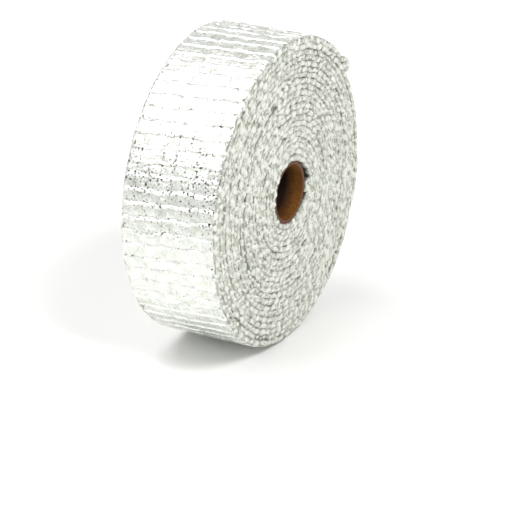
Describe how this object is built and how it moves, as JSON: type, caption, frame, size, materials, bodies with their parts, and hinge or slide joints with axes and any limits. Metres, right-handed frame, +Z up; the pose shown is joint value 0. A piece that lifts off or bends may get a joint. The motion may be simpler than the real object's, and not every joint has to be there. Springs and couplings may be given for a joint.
{
  "type": "roll of foil backed heat tape",
  "caption": "Roll of woven glass-fibre heat tape with aluminium foil backing, wound on a cardboard core, standing on its tread; unrolled to wrap and shield hot pipes.",
  "frame": {"origin": "on the floor under the middle of the roll, which stands on its tread", "axes": "+Z up, the roll's axis along Y, with the end that the picture shows facing -Y, and the strip's folded last end on the +X side"},
  "size_m": [0.1442, 0.05, 0.1443],
  "materials": {
    "cardboard": "wound kraft board, matte",
    "glass_fibre_cloth": "bulky woven glass fibre, off-white, matte with a faint sheen",
    "aluminium_foil": "crinkled bright foil pressed over the weave"
  },
  "bodies": {
    "root": {"core_tube": "cardboard", "woven_tape": "glass_fibre_cloth", "foil_backing": "aluminium_foil"}
  },
  "joints": []
}
